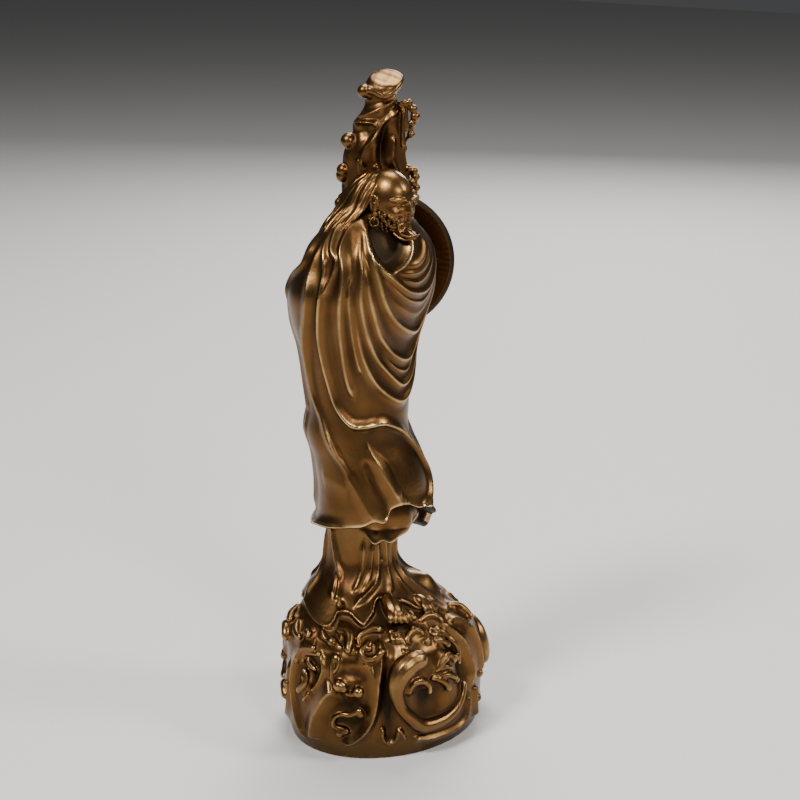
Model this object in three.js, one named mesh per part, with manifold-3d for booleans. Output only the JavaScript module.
// A small cast bronze statue: a cloaked, bearded figure standing on a mound of curling waves, with a gnarled
// root staff behind his left shoulder and a straw hat hanging on his back.
// Millimetres, +Z up. The origin is the middle of the flat underside, and he faces -Y.
// A bearing is an angle in degrees round the vertical: 0 straight ahead, 90 his left (+X), -90 his right.

import * as THREE from 'three';
import { mergeVertices } from 'three/addons/utils/BufferGeometryUtils.js';
import Module from 'manifold-3d';

const wasm = await Module();
wasm.setup();

// Driving sizes
const HEIGHT = 230;
const MOUND_ACROSS = 37.8;
const MOUND_DEEP = 32.6;
const MOUND_TOP = 50;
const SHOULDER_ACROSS = 26.4;
const SHOULDER_DEEP = 22.3;
const SHOULDER_HEIGHT = 158;
const HEAD_HALF_WIDTH = 7.6;
const HEAD_HALF_DEPTH = 9.6;
const HEAD_HALF_HEIGHT = 10.3;
const HAT_RADIUS = 25;
const HAT_RISE = 11;
const HAT_WALL = 1.8;
const BRONZE = { color: 0x7d5a34, roughness: 0.38, metalness: 1 };

const { clamp, degToRad, euclideanModulo, lerp, radToDeg, smoothstep } = THREE.MathUtils;
const HALF_TURN = 180;

// Reads a table of [position, value, value...] rows at a position, with a smooth curve through the rows.
function along(rows, position) {
  const last = rows.length - 1;
  const sign = Math.sign(rows[last][0] - rows[0][0]);
  if (sign * position <= sign * rows[0][0]) return rows[0].slice(1);
  if (sign * position >= sign * rows[last][0]) return rows[last].slice(1);
  let i = 0;
  while (sign * rows[i + 1][0] < sign * position) i++;
  const [a, b, c, d] = [rows[Math.max(i - 1, 0)], rows[i], rows[i + 1], rows[Math.min(i + 2, last)]];
  const length = c[0] - b[0];
  const t = (position - b[0]) / length;
  return b.slice(1).map((from, k) => {
    const to = c[k + 1];
    const leave = ((to - a[k + 1]) / (c[0] - a[0])) * length;
    const arrive = ((d[k + 1] - from) / (d[0] - b[0])) * length;
    const step = to - from;
    return from + t * (leave + t * (3 * step - 2 * leave - arrive + t * (leave + arrive - 2 * step)));
  });
}

const turnBetween = (a, b) => euclideanModulo(a - b + HALF_TURN, 2 * HALF_TURN) - HALF_TURN;

// 1 for a bearing inside a span, fading to 0 over the soft part outside it
function within(bearing, from, to, soft) {
  const off = Math.abs(turnBetween(bearing, (from + to) / 2)) - (to - from) / 2;
  return 1 - smoothstep(off, 0, soft);
}

// A closed skin. place(bearing, share) gives its points, from the top pole at 0 to the bottom pole at 1.
function skin(columns, rows, place) {
  const geometry = new THREE.SphereGeometry(1, columns, rows);
  const { position } = geometry.attributes;
  for (let i = 0; i < position.count; i++) {
    const column = (i % (columns + 1)) % columns;
    const share = Math.floor(i / (columns + 1)) / rows;
    const p = place((360 * column) / columns - 90, share);
    position.setXYZ(i, p.x, p.y, p.z);
  }
  return geometry;
}

// A round tapering rod through the points. radii holds [share, radius] rows.
function rod(points, radii, sides = 5, steps = 3) {
  const curve = new THREE.CatmullRomCurve3(points);
  const { normals, binormals } = curve.computeFrenetFrames(steps, false);
  const rows = steps + 2;
  return skin(sides, rows, (bearing, share) => {
    const row = Math.round(share * rows);
    const at = clamp(row - 1, 0, steps);
    const middle = curve.getPointAt(at / steps);
    if (row === 0 || row === rows) return middle;
    const [radius] = along(radii, at / steps);
    return middle
      .addScaledVector(normals[at], radius * Math.cos(degToRad(bearing)))
      .addScaledVector(binormals[at], radius * Math.sin(degToRad(bearing)));
  });
}

function solidOf(geometry) {
  const bare = geometry.clone();
  for (const name of ['normal', 'uv']) bare.deleteAttribute(name);
  const merged = mergeVertices(bare, 1e-4);
  const build = (triVerts) =>
    new wasm.Manifold(
      new wasm.Mesh({ numProp: 3, vertProperties: merged.attributes.position.array, triVerts }),
    );
  const faces = Uint32Array.from(merged.index.array);
  const solid = build(faces);
  return solid.volume() > 0 ? solid : build(faces.reverse());
}

function geometryOf(solid) {
  const { vertProperties, triVerts } = solid.getMesh();
  return new THREE.BufferGeometry()
    .setAttribute('position', new THREE.BufferAttribute(vertProperties, 3))
    .setIndex(new THREE.BufferAttribute(triVerts, 1));
}

// A carved line on a skin, as the height it adds at a bearing and a height z. Its path holds
// [bearing, z] rows, and radius is the mean radius of the skin there. It fades out at both ends.
function carvedLine(path, { height, reach, radius = 24, fade = 0.12 }) {
  const points = new THREE.SplineCurve(
    path.map(([bearing, z]) => new THREE.Vector2(radius * degToRad(bearing), z)),
  ).getPoints(4 * path.length);
  const middle = (path[0][0] + path.at(-1)[0]) / 2;
  return (bearing, z) => {
    const across = radius * degToRad(middle + turnBetween(bearing, middle));
    let nearest = reach * reach;
    let share = 0;
    for (let i = 0; i < points.length - 1; i++) {
      const { x, y } = points[i];
      const [runX, runY] = [points[i + 1].x - x, points[i + 1].y - y];
      const t = clamp(((across - x) * runX + (z - y) * runY) / (runX * runX + runY * runY), 0, 1);
      const gap = (across - x - t * runX) ** 2 + (z - y - t * runY) ** 2;
      if (gap >= nearest) continue;
      nearest = gap;
      share = (i + t) / (points.length - 1);
    }
    const swell = smoothstep(share, -0.01, fade) * smoothstep(1 - share, -0.01, fade);
    return height * swell * (1 - nearest / reach ** 2) ** 2;
  };
}

const tallest = (lines, bearing, z) => Math.max(0, ...lines.map((line) => line(bearing, z)));

// The cloak

// Height, middle x, middle y, half across, half deep
const CLOAK = [
  [186, -1.3, 3, 8, 7],
  [183, -1.3, 3.8, 13.5, 11.6],
  [180, -1.4, 4.4, 17, 14.6],
  [174, -1.6, 5.4, 22, 18.6],
  [168, -1.7, 6.2, 24.2, 20.6],
  [SHOULDER_HEIGHT, -2.3, 9, SHOULDER_ACROSS, SHOULDER_DEEP],
  [148, -2.8, 10, 24.4, 20.6],
  [138, -3, 9.9, 21.3, 18.1],
  [126, -2.4, 10, 19.3, 17.3],
  [116, -2.4, 9.7, 18.3, 16.7],
  [107, -2.6, 10.2, 18.8, 17.2],
  [99, -1, 7.6, 19.3, 17.8],
  [88, 0.6, 5.5, 20.6, 18.9],
  [80, 1, 5.1, 21.3, 19.5],
  [74, 0.6, 6, 20.8, 19],
];

// Bearing, height of the lower edge
const HEM = [
  [-180, 77], [-133, 74.5], [-110, 76], [-61, 78], [-38, 79.6], [-30, 84], [-14, 85], [12, 82], [26, 80],
  [42, 75.6], [55, 73], [66, 69], [76, 66.6], [92, 65.6], [110, 66], [130, 71], [150, 76], [180, 77],
];

// Swags hang across the chest from shoulder to shoulder, the lower ones with a squarer curve.
const SWAG_MIDDLE = 11;
const SWAG_LOWS = [158, 151, 144, 135, 126.5, 120.5];
function swag(low, i) {
  const down = i / (SWAG_LOWS.length - 1);
  const half = lerp(64, 76, down);
  const top = lerp(181, 176, down);
  return [-6, -5, -4, -2.5, 0, 2.5, 4, 5, 6].map((k) => [
    SWAG_MIDDLE + (half * k) / 6,
    low + (top - low) * Math.abs(k / 6) ** lerp(1.6, 2.4, down),
  ]);
}

// The long edge of the cape runs down his right side, sweeps round the front to his left hip, and turns
// back under the blown corner.
const CAPE_EDGE = [
  [-112, 182], [-90, 174], [-78, 160], [-80, 138], [-70, 119.5], [-56, 114], [-23, 113.6], [5, 110],
  [26, 103], [34, 94], [24, 85],
];
const CAPE_FRONT = CAPE_EDGE.slice(3, -1);
const RIGHT_LINES = [
  [[-78, 184], [-67, 170.5], [-58, 150], [-56, 130.5], [-50, 122]],
  [[-108, 180], [-98, 167], [-90, 158], [-104, 133], [-90, 114.6], [-72, 101], [-62, 90], [-48, 80]],
  [[-134, 180], [-113, 173], [-122, 166], [-139, 160], [-134, 152]],
  [[-75, 115.4], [-57, 109.5], [-44, 99], [-29, 84]],
  [[-31, 108], [-35, 101], [-26, 88]],
];
const BACK_LINES = 8;
function backLine(i) {
  const share = i / (BACK_LINES - 1);
  const start = lerp(84, 219, share);
  const drift = lerp(8, 20, share);
  return [[start, 172], [start, 150], [start + drift / 2, 118], [start + drift, i % 2 ? 96 : 82]];
}

const cloakLines = [
  ...SWAG_LOWS.map((low, i) => carvedLine(swag(low, i), { height: 2.6, reach: 4.6, fade: 0.05 })),
  carvedLine(CAPE_EDGE, { height: 2.8, reach: 4.6 }),
  ...RIGHT_LINES.map((path) => carvedLine(path, { height: 2.6, reach: 4.8 })),
  ...Array.from({ length: BACK_LINES }, (_, i) => carvedLine(backLine(i), { height: 2, reach: 5.6 })),
];

// The neck of the cloak lies open over his right breast.
const OPENING = { middle: -27, half: 38, low: 167, rise: 16, depth: 5 };
const CAPE_STEP = 1.7;

function cloakRelief(bearing, z) {
  const open = Math.abs(turnBetween(bearing, OPENING.middle)) / OPENING.half;
  const neckline = OPENING.low + OPENING.rise * open ** 1.5;
  const chest = smoothstep(z - neckline, 0, 3) * (1 - smoothstep(open, 0.9, 1.1));
  const [edge] = along(CAPE_FRONT, bearing);
  const below = smoothstep(edge - z, 0, 3) * (1 - smoothstep(edge - z, 6, 16));
  const under = below * within(bearing, -60, 10, 15);
  const cloth = tallest(cloakLines, bearing, z) - CAPE_STEP * under;
  return lerp(cloth, -OPENING.depth, chest);
}

const CLOAK_COLUMNS = 48;
const CLOAK_ROWS = 29;
const HEM_ROW = 27;
const HEM_WALL = 1.6;
const HOLLOW_TOP = 89;
function cloak() {
  const crown = CLOAK[0][0];
  const [, foldX, foldY] = CLOAK.at(-1);
  return skin(CLOAK_COLUMNS, CLOAK_ROWS, (bearing, share) => {
    const row = Math.round(share * CLOAK_ROWS);
    const angle = degToRad(bearing);
    const [edge] = along(HEM, bearing);
    const inside = Math.max(0, row - HEM_ROW) / (CLOAK_ROWS - HEM_ROW);
    const z = inside ? lerp(edge, HOLLOW_TOP, inside ** 0.5) : lerp(crown, edge, row / HEM_ROW);
    const level = inside ? edge : z;
    const [x, y, across, deep] = along(CLOAK, level);
    const relief = cloakRelief(bearing, level) * smoothstep(crown - level, 0, 6) - (inside ? HEM_WALL : 0);
    const shrink = row ? 1 - inside : 0;
    return new THREE.Vector3(
      lerp(x, foldX, inside) + (across + relief) * shrink * Math.sin(angle),
      lerp(y, foldY, inside) - (deep + relief) * shrink * Math.cos(angle),
      z,
    );
  });
}

// The ruffled under-robe that shows below the hem in front
const UNDER_ROBE = { x: -0.4, y: 3, top: 96, bottom: 71.4, radius: 12.2, spread: 1.2, ruffle: 0.8 };
function underRobe() {
  const { x, y, top, bottom, radius, spread, ruffle } = UNDER_ROBE;
  const hidden = bottom + 11;
  const lip = 2 / 3;
  return skin(18, 6, (bearing, share) => {
    const angle = degToRad(bearing);
    const wave = ruffle * Math.cos(degToRad(7 * bearing));
    const reach = within(bearing, -75, 5, 70);
    const low = lerp(hidden, bottom + wave, reach);
    const outside = share <= lip;
    const inward = outside ? Math.min(1, share * 4) : (1 - share) / (1 - lip);
    const z = outside ? lerp(top, low, share / lip) : lerp(hidden, low, inward);
    const size = inward * (radius + spread * reach + wave);
    return new THREE.Vector3(x + size * Math.sin(angle), y - size * Math.cos(angle), z);
  });
}

// The mound of waves and the skirts that spread on it

// Length down the surface, height, middle x, middle y, half across, half deep
const MOUND = [
  [0, 94, -2.4, 9.1, 11.4, 10.4],
  [12, 72, -2.4, 9.1, 12.7, 11.7],
  [19, 65, -2.6, 9.2, 13, 12.1],
  [24.2, 60, -2.7, 9.4, 13.6, 12.6],
  [30.6, 54, -2.5, 9, 16.2, 14.8],
  [35.7, MOUND_TOP, -2.4, 8.2, 19.8, 17.8],
  [40.3, 47, -1.7, 6.8, 23.6, 21],
  [46.8, 43.5, -0.4, 4.4, 28.6, 25],
  [52.9, 40, -0.2, 2.2, 33.2, 28.4],
  [57.9, 36, -0.2, 0.6, 35.6, 30.6],
  [66.1, 28, -0.2, 0.2, 37.4, 32],
  [77.1, 17, -0.2, 0.2, MOUND_ACROSS, MOUND_DEEP],
  [88.2, 6, -0.2, 0.2, 37.4, 32.2],
  [94.3, 0, 0, 0.2, 36.4, 30.6],
];
const MOUND_LENGTH = MOUND.at(-1)[0];
const MOUND_RADIUS = 37;

// The water sags on his left, below the skirts.
const SAG = { bearing: 95, length: 56, wide: 26, tall: 9, depth: 6.5 };
function sag(bearing, length) {
  const across = (MOUND_RADIUS * degToRad(turnBetween(bearing, SAG.bearing))) / SAG.wide;
  return SAG.depth * Math.exp(-(across ** 2) - ((length - SAG.length) / SAG.tall) ** 2);
}

function onMound(bearing, length, height = 0) {
  const lift = height - sag(bearing, length);
  const [z, x, y, across, deep] = along(MOUND, length);
  const [before, after] = [along(MOUND, length - 1.5), along(MOUND, length + 1.5)];
  const slope = Math.atan2(after[3] - before[3], before[0] - after[0]);
  const angle = degToRad(bearing);
  const out = lift * Math.cos(slope);
  return new THREE.Vector3(
    x + (across + out) * Math.sin(angle),
    y - (deep + out) * Math.cos(angle),
    z + lift * Math.sin(slope),
  );
}

// Skirt lobes: bearing at the top, bearing of the tip, half width in degrees, length down to the tip
const LOBES = [
  [-84, -90, 30, 48.5], [-46, -52, 16, 46.5], [-4, -1, 13, 44], [14, 18, 12, 48.5], [50, 50, 18, 46.5],
  [84, 82, 20, 46.5], [120, 120, 22, 47.5], [160, 160, 20, 46.5], [200, 200, 22, 47.5], [226, 226, 16, 43],
];
const LOBE_THICKNESS = 2;
const LOBE_START = 27;
function lobeRelief(bearing, length) {
  const heights = LOBES.map(([start, tip, half, end]) => {
    const down = clamp((length - LOBE_START) / (end - LOBE_START), 0, 1);
    const side = Math.abs(turnBetween(bearing, lerp(start, tip, down))) / half;
    return LOBE_THICKNESS * smoothstep(1 - Math.hypot(side, down ** 1.5), -0.05, 0.12);
  });
  return Math.max(...heights) * smoothstep(length, LOBE_START, LOBE_START + 4);
}

const PLEATS = [
  [[-106, 6], [-92, 17.5], [-72, 30]], [[-84, 18], [-83, 26], [-80, 36]], [[-42, 12], [-43, 21], [-58, 33]],
  [[-27, 12], [-29, 21], [-49, 34]], [[-22, 8], [-20, 23.5], [-32, 30.4], [-58, 39]],
  [[-8, 8], [-4, 23], [-18, 36]], [[8, 8], [6, 20], [8, 30], [4, 42]], [[24, 10], [24, 24], [18, 46]],
  ...[56, 90, 126, 162, 198].map((bearing) => [[bearing, 10], [bearing + 2, 40]]),
];
const pleats = PLEATS.map((path) => carvedLine(path, { height: 1.7, reach: 3, radius: 14, fade: 0.1 }));

// Long crests where one shell of water ends against the next
const CRESTS = [
  [[-44, 50], [-48, 66], [-52, 79], [-64, 87.4], [-73, 89]],
  [[2, 50.4], [12, 56.4], [20, 69], [20, 77]],
  [[12, 50], [24, 55.6], [31, 69], [33, 77]],
  [[-104, 60], [-110, 72], [-99, 91]],
  [[-88, 89], [-84, 76], [-73, 67.6]],
  [[-30, 87], [-8, 89], [9, 86.6], [13, 77]],
  [[60, 52], [74, 58], [78, 72], [66, 84]],
  [[122, 54], [140, 60], [146, 72], [132, 85]],
  [[186, 54], [204, 60], [210, 74], [194, 86]],
];
const crests = CRESTS.map((path) => carvedLine(path, { height: 2.6, reach: 5, radius: MOUND_RADIUS }));

// Broad swells and hollows of the water: bearing, length down, half width, half length, height
const SWELLS = [
  [-43, 74, 3.6, 12, -3], [12, 66, 5, 9, -4.6], [2, 58, 4.4, 3.6, -2], [-95, 64.5, 5, 5, -3],
  [-66, 76, 8, 8, -3], [-19, 73, 6, 7, -3.8], [42, 37, 8, 5, 3.4],
  [62, 70, 8, 8, -1.6], [112, 72, 9, 9, -2.2], [176, 72, 9, 9, -2.4],
];
function moundRelief(bearing, length) {
  const swells = SWELLS.map(([middle, at, wide, tall, height]) => {
    const across = (MOUND_RADIUS * degToRad(turnBetween(bearing, middle))) / wide;
    return height * Math.exp(-(across ** 2) - ((length - at) / tall) ** 2);
  });
  const above = Math.max(lobeRelief(bearing, length), tallest([...crests, ...pleats], bearing, length));
  const relief = swells.reduce((sum, swell) => sum + swell, above);
  return relief * (1 - smoothstep(length, MOUND_LENGTH - 5, MOUND_LENGTH));
}

function mound() {
  const rows = 20;
  return skin(36, rows, (bearing, share) => {
    const row = Math.round(share * rows);
    if (row === 0 || row === rows) {
      const [z, x, y] = along(MOUND, row ? MOUND_LENGTH : 0);
      return new THREE.Vector3(x, y, z);
    }
    const length = (MOUND_LENGTH * (row - 1)) / (rows - 2);
    return onMound(bearing, length, moundRelief(bearing, length));
  });
}

// Radii along the tongues of water
const TAPER = [[0, 1.2], [0.45, 1.9], [1, 1.3]];
const SWELLING = [[0, 1.4], [0.4, 2.8], [1, 1.4]];

// A tongue of water along [bearing, length] places, half sunk in the relief
function arm(path, radii, steps = path.length - 1) {
  const points = path.map(([bearing, length]) => {
    const ground = Math.max(-1, moundRelief(bearing, length));
    return onMound(bearing, length, 0.5 * ground + 0.2);
  });
  return rod(points, radii, 5, steps);
}

// A curl of water: a spiral about a place, from one angle to another, 90 being upward
function curl(bearing, length, [from, to], [startSize, endSize], radii = TAPER) {
  const count = Math.max(3, Math.round(Math.abs(to - from) / 45));
  return arm(
    Array.from({ length: count + 1 }, (_, i) => {
      const angle = degToRad(lerp(from, to, i / count));
      const size = lerp(startSize, endSize, i / count);
      return [bearing + radToDeg((size * Math.cos(angle)) / MOUND_RADIUS), length - size * Math.sin(angle)];
    }),
    radii,
  );
}

// The great breaking wave, from its thin tail round to its nose, and its radii
const BREAKER = [
  [9, 73], [0, 81], [-16, 83.6], [-31, 79], [-38.4, 70], [-35, 62], [-28, 59.4], [-20.4, 60.6],
];
const BREAKER_RADII = [[0, 1], [0.2, 2], [0.45, 2.5], [0.65, 2.3], [0.85, 4], [1, 3.2]];

const waves = () => [
  arm(BREAKER, BREAKER_RADII, 13),
  // the lip inside the breaking wave, and the foam over it
  arm([[-31, 71.5], [-30, 68.4], [-24, 66.6], [-18.4, 72.4]], TAPER),
  arm([[-10, 46.6], [-3, 45.8], [4, 47.6], [5, 50.6]], TAPER),
  arm([[-26, 54], [-24, 50.6], [-17, 49.8], [-14.6, 52]], TAPER),
  arm([[-36, 52.6], [-34, 49.8], [-30, 56]], TAPER),
  arm([[-12, 53], [-6, 55], [2, 54.6], [5, 64]], TAPER),
  arm([[-14, 65], [-8, 62], [-1.6, 61.6], [0, 65]], TAPER),
  arm([[-17, 66.6], [-11, 68], [-6, 73]], TAPER),
  // the hooks under the skirts, in front
  arm([[-74, 47.6], [-67, 48], [-64, 51], [-66, 55.6]], TAPER),
  arm([[-58.4, 53], [-56, 48.6], [-49, 47], [-41, 47.4]], TAPER),
  arm([[-49.6, 51.4], [-57, 55], [-50, 56.8], [-42, 54]], TAPER),
  // the knobs and long arms of the wave on his right
  arm([[-74, 68.6], [-70, 66.4], [-63, 69.4], [-58.4, 67.6]], TAPER),
  arm([[-65.6, 84.4], [-75, 81.6], [-71, 77.6], [-58, 75]], TAPER),
  arm([[-107, 64], [-104, 59.6], [-97, 57.4], [-86, 56.6]], TAPER),
  arm([[-103, 73.4], [-97.4, 69.6], [-98, 66], [-94, 62]], TAPER),
  arm([[-134, 47], [-129, 51], [-116, 53], [-104, 55]], TAPER),
  arm([[30, 47], [36, 51], [34, 56]], TAPER),
  // his left side and the back
  ...[54, 112, 176].flatMap((bearing, i) => [
    curl(bearing, 69 + i, [60, 300], [11, 9], SWELLING),
    curl(bearing + 4, 68 + i, [200, 10], [5, 4]),
    curl(bearing + 32, 63 + 2 * i, [230, 20], [7, 5]),
    curl(bearing + 30, 84, [190, 40], [6, 5]),
  ]),
];

// A bare foot on the mound, its toes fanned toward the tip
const TOES = 5;
const TOE_RADII = [[0, 0.6], [0.6, 0.85], [1, 0.6]];
function foot(bearing, start, end, width) {
  const sole = rod(
    [0, 0.5, 1].map((t) => onMound(bearing, lerp(start, end, t), 0.8)),
    [[0, width * 0.6], [0.6, width], [1, width * 0.7]],
  );
  const toes = Array.from({ length: TOES }, (_, i) => {
    const turn = radToDeg(((i - (TOES - 1) / 2) * 2 * width) / TOES / 27);
    const tip = end + 1.8 - 0.35 * Math.abs(i - 3);
    const knuckle = onMound(bearing + turn * 0.8, end - 1.5, 2);
    return rod([knuckle, onMound(bearing + turn, tip, 1.6)], TOE_RADII, 4, 2);
  });
  return [sole, ...toes];
}

// The head, bowed a little forward

const HEAD_MIDDLE = new THREE.Vector3(-1, -2.2, 189.2);
const HEAD_BOW = degToRad(12);

// Swellings and hollows of the head: bearing, share of the way down, half width in degrees, half share,
// height
const HEAD_FORMS = [
  // nose, cheeks and brow
  [0, 0.6, 9, 0.045, 3.4], [0, 0.53, 8, 0.05, 1.8], [30, 0.6, 15, 0.06, 1], [-30, 0.6, 15, 0.06, 1],
  [26, 0.43, 20, 0.035, 1.5], [-26, 0.43, 20, 0.035, 1.5],
  // eye hollows
  [24, 0.51, 13, 0.04, -1.3], [-24, 0.51, 13, 0.04, -1.3],
  // moustache, beard along the jaw with its tip, and the mouth between
  [14, 0.69, 13, 0.035, 1.3], [-14, 0.69, 13, 0.035, 1.3], [0, 0.8, 62, 0.07, 2.2], [0, 0.83, 18, 0.07, 4.4],
  [0, 0.745, 10, 0.02, -1],
];

function onHead(bearing, share, lift = 0) {
  const angle = degToRad(bearing);
  const polar = Math.PI * share;
  const form = HEAD_FORMS.reduce((sum, [at, level, wide, tall, height]) => {
    const off = (turnBetween(bearing, at) / wide) ** 2 + ((share - level) / tall) ** 2;
    return sum + height * Math.exp(-off);
  }, lift);
  const round = Math.sin(polar) * (1 - 0.16 * smoothstep(share, 0.55, 0.95));
  const out = form * Math.sqrt(Math.max(0, round));
  return new THREE.Vector3(
    (HEAD_HALF_WIDTH * round + out) * Math.sin(angle),
    -(HEAD_HALF_DEPTH * round + out) * Math.cos(angle),
    HEAD_HALF_HEIGHT * Math.cos(polar),
  )
    .applyAxisAngle(new THREE.Vector3(1, 0, 0), HEAD_BOW)
    .add(HEAD_MIDDLE);
}

// Hair falls from behind the ears over both shoulders. Height, middle x, middle y, half across, half deep
const HAIR = [
  [197.8, -1, 1.2, 4, 4.6],
  [195.5, -1.1, 2.2, 6.4, 7.1],
  [191, -1.1, 3.3, 8.8, 9.7],
  [186.4, -1.3, 4.3, 10.7, 11.2],
  [182.5, -1.5, 5.2, 14.2, 12.1],
  [179, -1.6, 5.6, 17, 13.4],
  [175, -1.7, 6.4, 19, 14],
];
const STRANDS = 13;
function hair() {
  return skin(26, 7, (bearing, share) => {
    const z = lerp(HAIR[0][0], HAIR.at(-1)[0], share);
    const [x, y, across, deep] = along(HAIR, z);
    const angle = degToRad(bearing);
    const open = 1 - 0.55 * within(bearing, -62, 62, 42);
    const strand = 0.5 * Math.cos(degToRad(STRANDS * (bearing + 60 * share)));
    const size = (length) => (share % 1 ? length * open + strand : 0);
    return new THREE.Vector3(x + size(across) * Math.sin(angle), y - size(deep) * Math.cos(angle), z);
  });
}

const EAR_BEARING = 84;
const RING_RADIUS = 1.7;
function ears() {
  return [-1, 1].flatMap((side) => {
    const at = onHead(side * EAR_BEARING, 0.56, 0.7);
    const ear = new THREE.SphereGeometry(1, 6, 4)
      .scale(1, 1.7, 3.1)
      .rotateX(HEAD_BOW)
      .translate(at.x, at.y, at.z);
    const ring = new THREE.TorusGeometry(RING_RADIUS, 0.45, 4, 10)
      .rotateY(Math.PI / 2)
      .rotateZ(side * degToRad(-35))
      .translate(at.x + side * 0.5, at.y - 0.2, at.z - 4);
    return [ear, ring];
  });
}

const neck = () =>
  rod(
    [new THREE.Vector3(-1.2, 5, 170), new THREE.Vector3(-1.2, 1, 178), new THREE.Vector3(-1, -1, 186)],
    [[0, 8], [1, 6]],
    10,
    3,
  );

// The staff

// The staff and the hat are turned about the vertical, so that both show beside his head from his right
// front.
const STAFF_TURN = degToRad(50);
function atStaff(across, behind, z) {
  return new THREE.Vector3(across, behind, z).applyAxisAngle(new THREE.Vector3(0, 0, 1), -STAFF_TURN);
}

// Height, middle across, middle behind, half across, half deep
const STAFF = [
  [HEIGHT - 2.6, 0.7, 12, 6, 5.2],
  [226.4, 0.1, 12, 6.7, 5.7],
  [223.8, -1.2, 12.1, 5.9, 4.7],
  [220.6, -1.2, 12.3, 5.3, 4.2],
  [218.4, -1, 12.4, 5.7, 4.4],
  [215.7, -1, 12.6, 7.3, 5],
  [213, -1.9, 12.8, 8.4, 5.6],
  [209, -2.1, 13, 8.7, 5.9],
  [203, -3.4, 13.3, 10.2, 6.3],
  [197, -3, 13.7, 11.2, 6.7],
  [189, -2.4, 14, 12.2, 7],
  [182, -2, 14, 12.4, 7],
  [172, -2.4, 13.5, 9, 6],
];
const staffLines = [
  [[64, 223.6], [25, 219.6], [-13, 217.6], [-77, 215]],
  [[62, 218.4], [33, 216.3], [2, 211], [-18, 204.6], [-20, 198]],
  [[-72, 212.6], [-43, 213.6], [1, 211.6]],
  [[80, 220], [66, 210], [62, 200], [56, 190]],
  [[110, 222], [140, 204], [142, 186]],
  [[200, 222], [216, 205], [228, 188]],
].map((path) => carvedLine(path, { height: 1.7, reach: 3, radius: 8 }));
const CLEFT = { bearing: 17, middle: 206, wide: 14, tall: 8, depth: 3.4 };
const TOP_TILT = 0.5;

function staff() {
  const rows = 18;
  return skin(16, rows, (bearing, share) => {
    const row = Math.round(share * rows);
    const level = lerp(STAFF[0][0], STAFF.at(-1)[0], clamp(row - 1, 0, rows - 2) / (rows - 2));
    const [middle, behind, across, deep] = along(STAFF, level);
    if (row === 0 || row === rows) return atStaff(middle, behind, level);
    const angle = degToRad(bearing);
    const aslant = turnBetween(bearing, CLEFT.bearing) / CLEFT.wide;
    const off = aslant ** 2 + ((level - CLEFT.middle) / CLEFT.tall) ** 2;
    const relief = tallest(staffLines, bearing, level) - CLEFT.depth * Math.exp(-off);
    const aside = (across + relief) * Math.sin(angle);
    const back = -(deep + relief) * Math.cos(angle);
    return atStaff(middle + aside, behind + back, level + TOP_TILT * smoothstep(level, 219, 226) * back);
  });
}

// Knobs on the staff: across, behind, height, radius
const KNOBS = [
  [-12.4, 12, 207.4, 2.9], [-14.2, 12, 196, 2.9], [-6.6, 9, 224.4, 2.5], [-15, 13.5, 185.2, 1.9],
  [-7, 17.6, 212, 2.4], [5, 18.6, 203, 2.6], [-4, 20, 193, 2.6],
];

// Strings of bark beads down its edge on his left: across, height
const BEAD_STRINGS = [
  [[4.4, 218.6], [8.4, 219], [10.2, 215], [9.6, 210.6], [7, 206]],
  [[6.4, 199], [9.4, 196], [10.6, 191], [9, 185]],
];
const BEAD_RADII = [[0, 1], [0.2, 2], [0.35, 1.4], [0.5, 2.1], [0.65, 1.4], [0.8, 2], [1, 1]];
const beads = () =>
  BEAD_STRINGS.map((string) => rod(string.map(([across, z]) => atStaff(across, 11.5, z)), BEAD_RADII, 5, 7));

const knobs = () =>
  KNOBS.map(([across, behind, z, radius]) => {
    const at = atStaff(across, behind, z);
    return new THREE.SphereGeometry(radius, 6, 5).translate(at.x, at.y, at.z);
  });

// The straw hat, its hollow against his back
const HAT_MIDDLE = { across: -0.5, behind: 25, z: 162.5 };
function hat() {
  const rows = 8;
  const rimRow = 5;
  return skin(24, rows, (bearing, share) => {
    const row = Math.round(share * rows);
    const outside = row <= rimRow;
    const spread = outside ? row / rimRow : (rows - row) / (rows - rimRow);
    const size = (HAT_RADIUS - (outside ? 0 : 1)) * spread;
    const depth = HAT_RISE * (1 - spread) ** 1.15 + (outside ? HAT_WALL * (1 - 0.4 * spread) : 0);
    const angle = degToRad(bearing);
    return atStaff(
      HAT_MIDDLE.across - size * Math.sin(angle),
      HAT_MIDDLE.behind + depth,
      HAT_MIDDLE.z + size * Math.cos(angle),
    );
  });
}

const forms = [
  mound(),
  cloak(),
  underRobe(),
  ...waves(),
  ...foot(-23, 34.5, 45, 3.8),
  rod([38, 41, 44].map((length) => onMound(7, length, 1.4)), [[0, 1.6], [0.6, 2.6], [1, 1.8]]),
  skin(22, 16, onHead),
  hair(),
  ...ears(),
  neck(),
  staff(),
  ...knobs(),
  ...beads(),
  hat(),
];
const whole = forms.map(solidOf).reduce((sum, form) => sum.add(form));
const statue = new THREE.Mesh(geometryOf(whole), new THREE.MeshStandardMaterial(BRONZE));
statue.name = 'bodhidharma_statue';

const group = new THREE.Group();
group.add(statue);
export default group;
